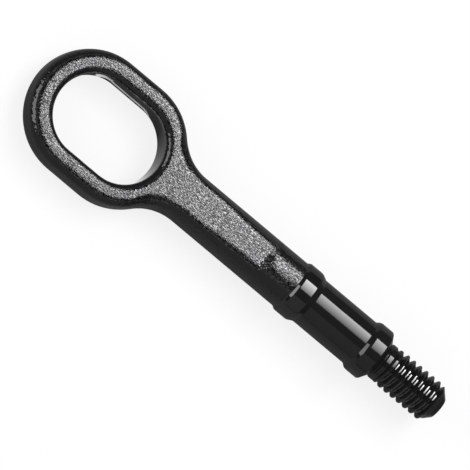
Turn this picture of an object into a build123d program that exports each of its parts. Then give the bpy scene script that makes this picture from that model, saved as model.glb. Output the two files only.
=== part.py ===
"""Screw-in tow eye of a car: a forged eye and shank, a turned stem with two guide collars, a left-hand thread."""
from build123d import *
import math
import os

os.makedirs("parts", exist_ok=True)

# All lengths are millimetres and all angles are degrees.
# X runs along the screw axis to the thread's tip, the eye lies in the XY plane and Z is up.
# X = 0 is the shoulder where the thread starts.

# Eye
eye_width = 55.2
eye_centres = 16.9
eye_side_wall = 10.0
eye_far_wall = 10.7
eye_near_wall = 10.1
eye_to_shoulder = 149.95
neck_radius = 23.0

# Forged shank and the two flats that it shares with the eye
shank_diameter = 22.4
eye_thickness = 15.4
flat_slope = 1.12
flat_end_to_shoulder = 65.4
ramp_angle = 40.0
ramp_edge_radius = 0.8
edge_radius = 4.5
hole_edge_radius = 3.4

# Turned stem
collar_diameter = 24.2
journal_diameter = 21.5
rear_collar_start = 48.9
rear_collar_rise = 1.4
rear_collar_land = 6.3
rear_collar_lead = 2.7
front_collar_start = 10.9
front_collar_rise = 1.8
front_collar_land = 6.3
collar_outer_edge_radius = 1.0
collar_inner_edge_radius = 2.5
collar_root_radius = 1.0

# Thread
thread_diameter = 18.0
thread_pitch = 3.37
thread_depth = 1.75
thread_length = 31.9
thread_start = 1.2
crest_width = 0.55
crest_crown = 0.04
crest_rise_length = 8.0
root_width = 0.45
undercut_diameter = 15.8
undercut_width = 0.9
undercut_root_radius = 0.4
runout_diameter = 17.0
runout_length = 2.7
runout_fall_length = 2.0
tip_diameter = 9.6

# How far the ridge sinks into its core, and how far the cutters reach past the metal
sink = 0.4
margin = 4.0

# Derived values
eye_radius = eye_width / 2
hole_width = eye_width - 2 * eye_side_wall
hole_centres = eye_centres + 2 * eye_side_wall - eye_far_wall - eye_near_wall
shank_radius = shank_diameter / 2
collar_radius = collar_diameter / 2
journal_radius = journal_diameter / 2
root_radius = thread_diameter / 2 - thread_depth
runout_radius = runout_diameter / 2
tip_radius = tip_diameter / 2
eye_x = -eye_to_shoulder
near_x = eye_x + eye_centres / 2
far_x = eye_x - eye_centres / 2
hole_x = eye_x + (eye_far_wall - eye_near_wall) / 2
end_x = far_x - eye_radius
flat_end_x = -flat_end_to_shoulder
neck_angle = math.degrees(math.acos((neck_radius + shank_radius) / (eye_radius + neck_radius)))
rear_land_x = -rear_collar_start + rear_collar_rise
rear_lead_x = rear_land_x + rear_collar_land
front_land_x = -front_collar_start + front_collar_rise
front_lead_x = front_land_x + front_collar_land


def flat_z(x):
    """Height of the upper flat over the screw axis at the station x."""
    return eye_thickness / 2 + math.tan(math.radians(flat_slope)) * (x - eye_x)


def flats(part):
    """The two flats, which are its largest plane faces."""
    return part.faces().filter_by(GeomType.PLANE).sort_by(SortBy.AREA)[-2:]


def ramps(part):
    """The two ramps at the ends of the flats."""
    return part.faces().filter_by(GeomType.PLANE).filter_by(lambda face: 0 < face.center().X - flat_end_x < margin)


with BuildPart() as forging:
    # Half outline of eye, neck, shank and stem, revolved round the screw axis
    outer_edges = [(rear_land_x, collar_radius), (front_lead_x, collar_radius)]
    inner_edges = [(rear_lead_x, collar_radius), (front_land_x, collar_radius)]
    collar_roots = [
        (-rear_collar_start, shank_radius),
        (rear_lead_x + rear_collar_lead, journal_radius),
        (-front_collar_start, journal_radius),
    ]
    undercut_root = (0, undercut_diameter / 2)
    with BuildSketch() as half_outline:
        with BuildLine():
            CenterArc((far_x, 0), eye_radius, 90, 90)
            side = Line((far_x, eye_radius), (near_x, eye_radius))
            shoulder = JernArc(side @ 1, side % 1, eye_radius, -neck_angle)
            neck = JernArc(shoulder @ 1, shoulder % 1, neck_radius, neck_angle)
            Polyline(
                neck @ 1,
                collar_roots[0],
                outer_edges[0],
                inner_edges[0],
                collar_roots[1],
                collar_roots[2],
                inner_edges[1],
                outer_edges[1],
                undercut_root,
                (undercut_width, runout_radius),
                (runout_length, runout_radius),
                (runout_length + runout_fall_length, root_radius - sink),
                (runout_length + runout_fall_length, 0),
                (end_x, 0),
            )
        make_face()
        for point in outer_edges:
            fillet(half_outline.vertices().sort_by_distance((*point, 0))[0], collar_outer_edge_radius)
        for point in inner_edges:
            fillet(half_outline.vertices().sort_by_distance((*point, 0))[0], collar_inner_edge_radius)
        for point in collar_roots:
            fillet(half_outline.vertices().sort_by_distance((*point, 0))[0], collar_root_radius)
        fillet(half_outline.vertices().sort_by_distance((*undercut_root, 0))[0], undercut_root_radius)
    revolve(axis=Axis.X)

    # Two flats, which rise a little toward the shank and end in a short ramp
    top_z = eye_radius + margin
    ramp_end_x = flat_end_x + (top_z - flat_z(flat_end_x)) / math.tan(math.radians(ramp_angle))
    with BuildSketch(Plane.XZ) as above_flat:
        with BuildLine():
            Polyline(
                (end_x - margin, flat_z(end_x - margin)),
                (flat_end_x, flat_z(flat_end_x)),
                (ramp_end_x, top_z),
                (end_x - margin, top_z),
                close=True,
            )
        make_face()
    extrude(amount=eye_radius + margin, both=True, mode=Mode.SUBTRACT)
    with BuildSketch(Plane.XZ):
        mirror(above_flat.sketch, about=Plane.XY)
    extrude(amount=eye_radius + margin, both=True, mode=Mode.SUBTRACT)

    # Hole of the eye
    with BuildSketch():
        with Locations((hole_x, 0)):
            SlotCenterToCenter(hole_centres, hole_width)
    extrude(amount=eye_radius, both=True, mode=Mode.SUBTRACT)

    # Rounded rims of the hole and of the flats, which run out on the ramps, then the edges of the ramps
    fillet([edge for face in flats(forging) for wire in face.inner_wires() for edge in wire.edges()], hole_edge_radius)
    rim = [edge for face in flats(forging) for edge in face.outer_wire().edges()]
    across = [edge for edge in rim if edge.geom_type == GeomType.LINE and abs((edge % 0.5).Y) > 0.99]
    fillet([edge for edge in rim if edge not in across], edge_radius)
    fillet(ramps(forging).edges(), ramp_edge_radius)

# One ridge of the thread, wound left-handed round the screw axis
with BuildPart() as ridge:
    with BuildLine() as winding:
        Helix(
            thread_pitch,
            thread_length + thread_pitch - thread_start,
            root_radius,
            center=(thread_start, 0, 0),
            direction=(1, 0, 0),
            lefthand=True,
        )
    begin = winding.line @ 0
    outward = Vector(0, begin.Y, begin.Z).normalized()
    foot = (thread_pitch - root_width) / 2
    crest = crest_width / 2
    crest_side = thread_depth - crest_crown
    spread = (foot - crest) / crest_side * sink
    with BuildSketch(Plane(begin, x_dir=(1, 0, 0), z_dir=Vector(1, 0, 0).cross(outward))):
        with BuildLine():
            Polyline((-crest, crest_side), (-foot - spread, -sink), (foot + spread, -sink), (crest, crest_side))
            ThreePointArc((-crest, crest_side), (0, thread_depth), (crest, crest_side))
        make_face()
    sweep(path=winding.line, is_frenet=True)

# Threaded end: core and ridge, trimmed to crests that rise from the run-out and to a chamfered tip
with BuildPart() as screw:
    with BuildSketch():
        with BuildLine():
            Polyline(
                (0, 0),
                (0, root_radius),
                (thread_length + margin, root_radius),
                (thread_length + margin, 0),
                close=True,
            )
        make_face()
    revolve(axis=Axis.X)
    add(ridge.part)
    with BuildSketch():
        with BuildLine():
            trim_radius = thread_diameter / 2 + sink
            Polyline(
                (thread_start / 2, 0),
                (thread_start / 2, root_radius - sink / 2),
                (runout_length, runout_radius - sink / 4),
                (runout_length + crest_rise_length, trim_radius),
                (thread_length - (trim_radius - tip_radius), trim_radius),
                (thread_length, tip_radius),
                (thread_length, 0),
                close=True,
            )
        make_face()
    revolve(axis=Axis.X, mode=Mode.INTERSECT)

# The tow eye is one piece of steel
with BuildPart() as tow_eye:
    add(forging.part)
    add(screw.part)

tow_eye.part.label = "tow_eye"
export_step(tow_eye.part, "parts/tow_eye.step")
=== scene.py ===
"""Screw-in tow eye of a car: black coat over a pebbled forging and a turned stem, lying on a white table."""
import bmesh
import bpy
import math
from mathutils import Matrix, Vector


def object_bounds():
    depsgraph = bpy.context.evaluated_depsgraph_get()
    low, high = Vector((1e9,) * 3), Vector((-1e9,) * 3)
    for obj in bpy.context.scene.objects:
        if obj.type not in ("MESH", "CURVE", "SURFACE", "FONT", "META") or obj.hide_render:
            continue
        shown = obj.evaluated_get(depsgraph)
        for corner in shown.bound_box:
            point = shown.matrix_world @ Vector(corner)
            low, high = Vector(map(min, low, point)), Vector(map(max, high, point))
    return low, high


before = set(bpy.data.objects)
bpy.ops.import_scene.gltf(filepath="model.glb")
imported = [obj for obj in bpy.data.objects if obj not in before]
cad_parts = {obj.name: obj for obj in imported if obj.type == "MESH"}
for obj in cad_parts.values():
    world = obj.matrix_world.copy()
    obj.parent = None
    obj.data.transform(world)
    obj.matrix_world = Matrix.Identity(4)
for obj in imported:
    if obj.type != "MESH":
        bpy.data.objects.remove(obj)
cad_low, cad_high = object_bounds()
scene = bpy.context.scene
MM = 0.001
X_AXIS = Vector((1.0, 0.0, 0.0))
Y_AXIS = Vector((0.0, 1.0, 0.0))
Z_AXIS = Vector((0.0, 0.0, 1.0))


def metres(*millimetres):
    """Lengths given in millimetres, in metres."""
    return tuple(length * MM for length in millimetres)


# Soft borders along the screw axis, in the part's own frame: where the turned stem and the thread start
STEM_START = metres(-49.15, -48.65)
THREAD_START = metres(0.0, 0.25)

# Stretches along the screw axis: each starts, is full, begins to fade and ends
NECK_ZONE = metres(-125.0, -119.0, -114.0, -109.0)
TAPER_ZONE = metres(-95.0, -72.0, -65.0, -62.0)
RAMP_ZONE = metres(-70.0, -68.0, -61.0, -59.0)
RUN_OUT_ZONE = metres(-66.6, -65.2, -62.8, -61.8)
REAR_COLLAR_ZONE = STEM_START + metres(-41.45, -41.2)
RAMP_FOOT_X = -65.4 * MM

# Soft borders off the axis: radii of worn crests and roots, half widths at the shank's edges, eased side
CREST_EDGE = metres(8.65, 8.9)
ROOT_EDGE = metres(7.35, 7.6)
SHANK_EDGE = metres(4.0, 7.5)
EASY_SIDE = metres(0.8, 2.4)

# The neck bends in round a point on each side, this far behind the thread's shoulder and off the axis
NECK_BEND = metres(104.2, 34.2, 0.0)

# The neck's edge falls off in full up to one distance from that point, and not at all past the other
NECK_EDGE = metres(25.5, 29.3)

# Soft borders between faces: the square of the normal's upright part, and its part back along the bar
BROAD_FACE = (0.72, 0.92)
RIM = (0.02, 0.12)
RAMP_SLANT = (0.3, 0.6)

# Heights on the surface, in millimetres, and how far an eased ramp drops in each millimetre of its length
PEBBLE_HEIGHT = 0.08
MOTTLE_HEIGHT = 0.13
WAVE_HEIGHT = 0.05
NECK_EDGE_FALL = 0.7
SHANK_EDGE_FALL = 0.6
LUMP_HEIGHT = 0.7
LATHE_HEIGHT = 0.0006
RAMP_EASE = 0.9

# Sizes of the patterns. Pebbles and lathe marks are drawn out along the axes with a small scale
PEBBLE_SIZE = 0.25 * MM
PEBBLE_SCALE = (0.3, 1.0, 1.0)
MOTTLE_SIZE = 1.0 * MM
WAVE_SIZE = 6.0 * MM
LUMP_SIZE = 0.8 * MM
LATHE_SIZE = 0.3 * MM
LATHE_SCALE = (1.0, 0.04, 0.04)
PATCH_SIZE = 14.0 * MM

# Finish of the coat, of the pebbles from foot to crest, of the rear collar and of the worn thread
COAT_DARK = (0.008, 0.008, 0.0085, 1.0)
COAT_LIGHT = (0.014, 0.014, 0.0145, 1.0)
PEBBLE_FOOT = (0.017, 0.017, 0.0173, 1.0)
PEBBLE_CREST = (0.3, 0.3, 0.303, 1.0)
PEBBLE_RISE = (0.36, 0.98)
THIN_COAT = (0.085, 0.085, 0.086, 1.0)
BARE_STEEL = (0.16, 0.16, 0.162, 1.0)
PEBBLE_METAL = 0.85
COLLAR_METAL = 0.9
GLOSS_ROUGHNESS = 0.05
PEBBLE_DULLNESS = 0.05
PATCH_DULLNESS = 0.05
COAT_IOR = 1.6


class Socket:
    """A node's output. Sums and products of such outputs add Math nodes to their tree."""

    def __init__(self, tree, output):
        self.tree = tree
        self.output = output

    def named(self, name):
        """Another output of the same node."""
        return Socket(self.tree, self.output.node.outputs[name])

    def maths(self, operation, first, second):
        """A Math node on two values."""
        return self.tree.node("ShaderNodeMath", {"operation": operation}, {0: first, 1: second})

    def __add__(self, other):
        return self.maths("ADD", self, other)

    def __sub__(self, other):
        return self.maths("SUBTRACT", self, other)

    def __rsub__(self, other):
        return self.maths("SUBTRACT", other, self)

    def __mul__(self, other):
        return self.maths("MULTIPLY", self, other)

    __radd__ = __add__
    __rmul__ = __mul__


class Tree:
    """The nodes of one material, lamp or world."""

    def __init__(self, owner):
        owner.use_nodes = True
        self.nodes = owner.node_tree.nodes
        self.links = owner.node_tree.links
        self.nodes.clear()

    def node(self, kind, settings=None, sockets=None, output=0):
        """Adds a node, sets its settings, then gives its sockets their values or links."""
        node = self.nodes.new(kind)
        for name, setting in (settings or {}).items():
            setattr(node, name, setting)
        for name, value in (sockets or {}).items():
            if isinstance(value, Socket):
                self.links.new(value.output, node.inputs[name])
            else:
                node.inputs[name].default_value = value
        return Socket(self, node.outputs[output]) if node.outputs else None

    def coordinate(self, name):
        """A texture coordinate of the surface, such as Object or Normal."""
        return self.node("ShaderNodeTexCoord", output=name)

    def part(self, vector, axis):
        """One component of a vector."""
        return self.node("ShaderNodeSeparateXYZ", {}, {"Vector": vector}, axis)

    def step(self, value, start, end):
        """A soft step from 0 at start to 1 at end."""
        return self.node(
            "ShaderNodeMapRange",
            {"interpolation_type": "SMOOTHSTEP"},
            {"Value": value, "From Min": start, "From Max": end, "To Min": 0.0, "To Max": 1.0},
        )

    def within(self, value, zone):
        """1 inside the zone, with a soft start and end."""
        start, full, fade, end = zone
        return self.step(value, start, full) * (1 - self.step(value, fade, end))

    def scaled(self, vector, scale):
        """The vector with each axis scaled. A pattern on it is longer where the scale is small."""
        return self.node("ShaderNodeVectorMath", {"operation": "MULTIPLY"}, {0: vector, 1: scale})

    def blend(self, share, first, second):
        """The first colour, or the second where the share is 1."""
        return self.node("ShaderNodeMix", {"data_type": "RGBA"}, {0: share, 6: first, 7: second}, 2)

    def noise(self, vector, size, detail=0.0, roughness=0.5):
        """Soft noise from 0 to 1 whose bumps are about so many metres across."""
        return self.node(
            "ShaderNodeTexNoise",
            {},
            {"Vector": vector, "Scale": 1 / size, "Detail": detail, "Roughness": roughness},
        )


def broad_faces(tree, place):
    """1 on the two pebbled broad faces and on their ramps, 0 on the smooth sides and the stem."""
    x = tree.part(place, "X")
    facing = tree.part(tree.coordinate("Normal"), "Z")
    slanting = facing.named("X")
    straight_on = facing * facing + slanting * slanting * tree.within(x, RAMP_ZONE)
    return (1 - tree.step(x, *STEM_START)) * tree.step(straight_on, *BROAD_FACE)


def rounded_rims(tree, pebbled):
    """1 on the rims between the broad faces and the upright sides."""
    facing = tree.part(tree.coordinate("Normal"), "Z")
    return (1 - pebbled) * tree.step(facing * facing, *RIM)


def rounder_edges(tree, place):
    """How far the edges fall off, in millimetres, where the neck bends in and where the faces run out."""
    x = tree.part(place, "X")
    y = x.named("Y")
    in_plan = tree.scaled(place, (1.0, 1.0, 0.0))
    one_side = tree.node("ShaderNodeVectorMath", {"operation": "ABSOLUTE"}, {0: in_plan})
    bend = tree.node("ShaderNodeVectorMath", {"operation": "DISTANCE"}, {0: one_side, 1: NECK_BEND}, "Value")
    neck = tree.within(x, NECK_ZONE) * (1 - tree.step(bend, *NECK_EDGE))
    inner, outer = SHANK_EDGE
    shank = tree.within(x, TAPER_ZONE) * tree.step(y * y, inner ** 2, outer ** 2)
    return neck * NECK_EDGE_FALL + shank * SHANK_EDGE_FALL


def uneven_ramps(tree, place, pebbled):
    """Height, in millimetres, that eases the ramps on one side and makes them lumpy on the other."""
    x = tree.part(place, "X")
    easy = tree.step(x.named("Y"), *EASY_SIDE)
    slanting = tree.part(tree.coordinate("Normal"), "X")
    ramp = tree.within(x, RAMP_ZONE) * tree.step(0 - slanting, *RAMP_SLANT)
    ease = ramp * easy * (RAMP_FOOT_X - x) * (RAMP_EASE / MM)
    lumps = tree.noise(place, LUMP_SIZE) - 0.5
    return ease + pebbled * tree.within(x, RUN_OUT_ZONE) * (1 - easy) * lumps * LUMP_HEIGHT


def worn_thread(tree, place):
    """1 on the crests and in the roots of the thread, where the coat is worn through."""
    off_axis = tree.scaled(place, (0.0, 1.0, 1.0))
    radius = tree.node("ShaderNodeVectorMath", {"operation": "LENGTH"}, {0: off_axis}, "Value")
    crest = tree.step(radius, *CREST_EDGE)
    root = 1 - tree.step(radius, *ROOT_EDGE)
    return tree.step(tree.part(place, "X"), *THREAD_START) * (crest + root)


def black_coat():
    """Gloss black coat: pebbled over the forging, smooth with faint lathe marks on the turned end."""
    material = bpy.data.materials.new("black_coat_dressed")
    tree = Tree(material)
    place = tree.coordinate("Object")
    x = tree.part(place, "X")
    turned = tree.step(x, *STEM_START)
    collar = tree.within(x, REAR_COLLAR_ZONE)
    worn = worn_thread(tree, place)

    # The pebbles are longer along the bar than across it, and the rims beside them are only mottled
    pebbled = broad_faces(tree, place)
    pebbles = tree.noise(tree.scaled(place, PEBBLE_SCALE), PEBBLE_SIZE)
    waves = tree.noise(place, WAVE_SIZE, detail=1.0)
    mottles = tree.noise(place, MOTTLE_SIZE)
    smooth = waves * WAVE_HEIGHT + rounded_rims(tree, pebbled) * mottles * MOTTLE_HEIGHT
    skin = pebbled * pebbles * PEBBLE_HEIGHT + (1 - turned) * smooth
    forging = skin - rounder_edges(tree, place) + uneven_ramps(tree, place, pebbled)
    lathe_marks = tree.noise(tree.scaled(place, LATHE_SCALE), LATHE_SIZE, detail=1.0)
    height = forging + turned * lathe_marks * LATHE_HEIGHT
    bump = tree.node("ShaderNodeBump", {}, {"Strength": 1.0, "Distance": MM, "Height": height})

    # The coat is lighter and duller in patches, and thin on the pebbles' crests and on the rear collar
    patches = tree.noise(place, PATCH_SIZE, detail=3.0, roughness=0.6)
    coat = tree.blend(patches, COAT_DARK, COAT_LIGHT)
    grain = tree.blend(tree.step(pebbles, *PEBBLE_RISE), PEBBLE_FOOT, PEBBLE_CREST)
    colour = tree.blend(pebbled, coat, grain)
    colour = tree.blend(collar, colour, THIN_COAT)
    colour = tree.blend(worn, colour, BARE_STEEL)
    shader = tree.node(
        "ShaderNodeBsdfPrincipled",
        {},
        {
            "Base Color": colour,
            "Metallic": pebbled * PEBBLE_METAL + collar * COLLAR_METAL + worn,
            "Roughness": GLOSS_ROUGHNESS + pebbled * PEBBLE_DULLNESS + patches * PATCH_DULLNESS,
            "IOR": COAT_IOR,
            "Normal": bump,
        },
    )
    tree.node("ShaderNodeOutputMaterial", {}, {"Surface": shader})
    return material


# The eye keeps its solid, with the seams of its faces welded so that the gloss runs over them
SEAM = 0.001 * MM
SHARP_ANGLE = math.radians(28)
tow_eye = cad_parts["tow_eye"]
tow_eye.data.materials.clear()
tow_eye.data.materials.append(black_coat())
weld = tow_eye.modifiers.new("weld_seams", "WELD")
weld.merge_threshold = SEAM
split = tow_eye.modifiers.new("sharp_edges", "EDGE_SPLIT")
split.split_angle = SHARP_ANGLE
even = tow_eye.modifiers.new("even_gloss", "WEIGHTED_NORMAL")
even.mode = "FACE_AREA_WITH_ANGLE"

# The bar comes to rest on its rear collar, the lowest point, and on the far end of the eye, inside the rim
COLLAR_TOUCH_X = -47.2 * MM
EYE_RIM = 4.5 * MM
EYE_TOUCH_Z = -7.1 * MM
collar_touch = Vector((COLLAR_TOUCH_X, 0.0, cad_low.z))
eye_touch = Vector((cad_low.x + EYE_RIM, 0.0, EYE_TOUCH_Z))
rest_line = (collar_touch - eye_touch).normalized()
rest_normal = rest_line.cross(Y_AXIS)

# Camera at the photograph's angle: the bar leans toward the viewer, is rolled, and turned in the picture
LEAN = math.radians(12.0)
ROLL = math.radians(14.3)
TURN = math.radians(39.96)
LENS = 1500.0
SENSOR = 36.0

# Width of the view, and how far its middle lies along the bar, aside of it and above it
VIEW_WIDTH = 192.3 * MM
VIEW_ALONG = -78.2 * MM
VIEW_ASIDE = 1.04 * MM
VIEW_ABOVE = 16.0 * MM
toward = Vector((-math.sin(LEAN), -math.sin(ROLL) * math.cos(LEAN), math.cos(ROLL) * math.cos(LEAN)))
bar = Vector((math.cos(LEAN), -math.sin(ROLL) * math.sin(LEAN), math.cos(ROLL) * math.sin(LEAN)))
side = Vector((0.0, math.cos(ROLL), math.sin(ROLL)))
overhead = Vector((0.0, -math.sin(ROLL), math.cos(ROLL)))
right = bar * math.cos(TURN) + side * math.sin(TURN)
up = side * math.cos(TURN) - bar * math.sin(TURN)
centre = bar * VIEW_ALONG + side * VIEW_ASIDE + toward * VIEW_ABOVE


def placed(middle, wide, tall, back):
    """The matrix of a thing at middle with these three directions as its axes."""
    return Matrix.Translation(middle) @ Matrix((wide, tall, back)).transposed().to_4x4()


camera = bpy.data.objects.new("camera", bpy.data.cameras.new("camera"))
camera.data.lens = LENS
camera.data.sensor_width = SENSOR
camera.matrix_world = placed(centre + toward * (VIEW_WIDTH * LENS / SENSOR), right, up, toward)
scene.collection.objects.link(camera)
scene.camera = camera


def lamp(name, middle, across, aim, size, strengths):
    """A rectangular lamp at middle that faces aim. The strengths are those at its lower and upper edge."""
    data = bpy.data.lights.new(name, "AREA")
    data.shape = "RECTANGLE"
    data.size, data.size_y = size
    data.energy = math.pi * data.size * data.size_y
    tree = Tree(data)
    lower, upper = strengths
    height = tree.part(tree.node("ShaderNodeNewGeometry", output="Parametric"), "Y")
    shader = tree.node("ShaderNodeEmission", {}, {"Strength": lower + height * (upper - lower)})
    tree.node("ShaderNodeOutputLight", {}, {"Surface": shader})
    back = (middle - aim).normalized()
    wide = (across - back * across.dot(back)).normalized()
    made = bpy.data.objects.new(name, data)
    made.matrix_world = placed(middle, wide, back.cross(wide), back)
    made.visible_camera = False
    scene.collection.objects.link(made)


# Softbox over the far side of the bar
BOX_ANGLE = math.radians(37.35)
BOX_REACH = 1.6
BOX_X = 0.35
BOX_SIZE = (0.82, 1.31)
BOX_GLOW = (1.8, 9.0)
box_middle = overhead * (BOX_REACH * math.cos(BOX_ANGLE)) + side * (BOX_REACH * math.sin(BOX_ANGLE))
box_middle.x = BOX_X
lamp("softbox", box_middle, X_AXIS, X_AXIS * BOX_X, BOX_SIZE, BOX_GLOW)

# Strip low past the eye's end
STRIP_AIM = Vector((-0.1, 0.0, 0.0))
STRIP_WAY = Vector((-1.0, -0.295, 0.59))
STRIP_ACROSS = Vector((0.24, -0.97, 0.0))
STRIP_SIZE = (0.97, 0.6)
STRIP_GLOW = (2.8, 2.8)
lamp("end_strip", STRIP_AIM + STRIP_WAY, STRIP_ACROSS, STRIP_AIM, STRIP_SIZE, STRIP_GLOW)

# Small card low under the near end of the hole, which that end's wall shows
HOLE_CARD_SPOT = Vector(metres(-136.0, -2.0, -8.4))
HOLE_CARD_SIZE = metres(28.0, 28.0)
HOLE_CARD_GLOW = (0.0, 1.6)
lamp("hole_card", HOLE_CARD_SPOT, X_AXIS, HOLE_CARD_SPOT + Z_AXIS, HOLE_CARD_SIZE, HOLE_CARD_GLOW)

# Narrow card on the table under the far side of the hole, which the foot of that side's wall shows
FOOT_CARD_ALONG = 31.9 * MM
FOOT_CARD_ASIDE = 15.9 * MM
FOOT_CARD_LIFT = 0.05 * MM
FOOT_CARD_SIZE = metres(36.0, 0.5)
FOOT_CARD_GLOW = (1.2, 1.2)
foot_spot = eye_touch + rest_line * FOOT_CARD_ALONG + Y_AXIS * FOOT_CARD_ASIDE + Z_AXIS * FOOT_CARD_LIFT
lamp("foot_card", foot_spot, rest_line, foot_spot + rest_normal, FOOT_CARD_SIZE, FOOT_CARD_GLOW)

# Wide dim card on the near side
NEAR_CARD_ABOVE = 0.75
NEAR_CARD_ASIDE = -0.9
NEAR_CARD_AIM = Vector((-0.08, 0.0, 0.0))
NEAR_CARD_SIZE = (2.4, 1.4)
NEAR_CARD_GLOW = (0.17, 0.17)
near_spot = overhead * NEAR_CARD_ABOVE + side * NEAR_CARD_ASIDE
lamp("near_card", near_spot, X_AXIS, NEAR_CARD_AIM, NEAR_CARD_SIZE, NEAR_CARD_GLOW)

# White table and surroundings. The coat shows a dim studio, so gloss sees them at a share, less past the tip
TABLE_SHARE = 0.25
DARK_SHARE = 0.075
DARK_PAST_TIP = metres(3.1, 33.1)
WORLD_SHARE = 0.05
FILL = 0.45
FLOOR_COLOUR = 0.18
FLOOR_GLOW = 0.82
FLOOR_HALF_WIDTH = 20.0


def grey(share):
    """A grey of so much brightness."""
    return (share, share, share, 1.0)


def white_table():
    """A white floor that keeps the shadow. It lights the object only by its own colour."""
    material = bpy.data.materials.new("white_table")
    tree = Tree(material)
    path = tree.node("ShaderNodeLightPath", output="Is Camera Ray")
    glossy = path.named("Is Glossy Ray")
    seen = path + glossy + path.named("Is Transmission Ray")
    matt = tree.node("ShaderNodeBsdfDiffuse", {}, {"Color": grey(FLOOR_COLOUR)})
    glow = tree.node("ShaderNodeEmission", {}, {"Strength": seen * FLOOR_GLOW})
    table = tree.node("ShaderNodeAddShader", {}, {0: matt, 1: glow})
    past_tip = tree.part(tree.coordinate("Object"), "X") - cad_high.x
    darker = tree.step(past_tip, *DARK_PAST_TIP)
    dim = tree.node("ShaderNodeBsdfDiffuse", {}, {"Color": grey(TABLE_SHARE)})
    dark = tree.node("ShaderNodeBsdfDiffuse", {}, {"Color": grey(DARK_SHARE)})
    in_gloss = tree.node("ShaderNodeMixShader", {}, {0: darker, 1: dim, 2: dark})
    shown = tree.node("ShaderNodeMixShader", {}, {0: glossy, 1: table, 2: in_gloss})
    tree.node("ShaderNodeOutputMaterial", {}, {"Surface": shown})
    return material


def white_surroundings():
    """A world that is white to the camera and a plain soft fill to the object."""
    world = bpy.data.worlds.new("surroundings")
    tree = Tree(world)
    path = tree.node("ShaderNodeLightPath", output="Is Camera Ray")
    white = path + path.named("Is Transmission Ray") + path.named("Is Glossy Ray") * WORLD_SHARE
    strength = white + path.named("Is Diffuse Ray") * FILL
    shader = tree.node("ShaderNodeBackground", {}, {"Strength": strength})
    tree.node("ShaderNodeOutputWorld", {}, {"Surface": shader})
    return world


scene.world = white_surroundings()

# Table under the two points of rest
floor_mesh = bmesh.new()
bmesh.ops.create_grid(floor_mesh, x_segments=1, y_segments=1, size=FLOOR_HALF_WIDTH)
bmesh.ops.transform(
    floor_mesh,
    matrix=Matrix.Translation(eye_touch) @ rest_normal.to_track_quat("Z", "Y").to_matrix().to_4x4(),
    verts=floor_mesh.verts,
)
floor_data = bpy.data.meshes.new("table")
floor_mesh.to_mesh(floor_data)
floor_mesh.free()
floor_data.materials.append(white_table())
floor = bpy.data.objects.new("table", floor_data)
scene.collection.objects.link(floor)

scene.view_settings.view_transform = "Standard"
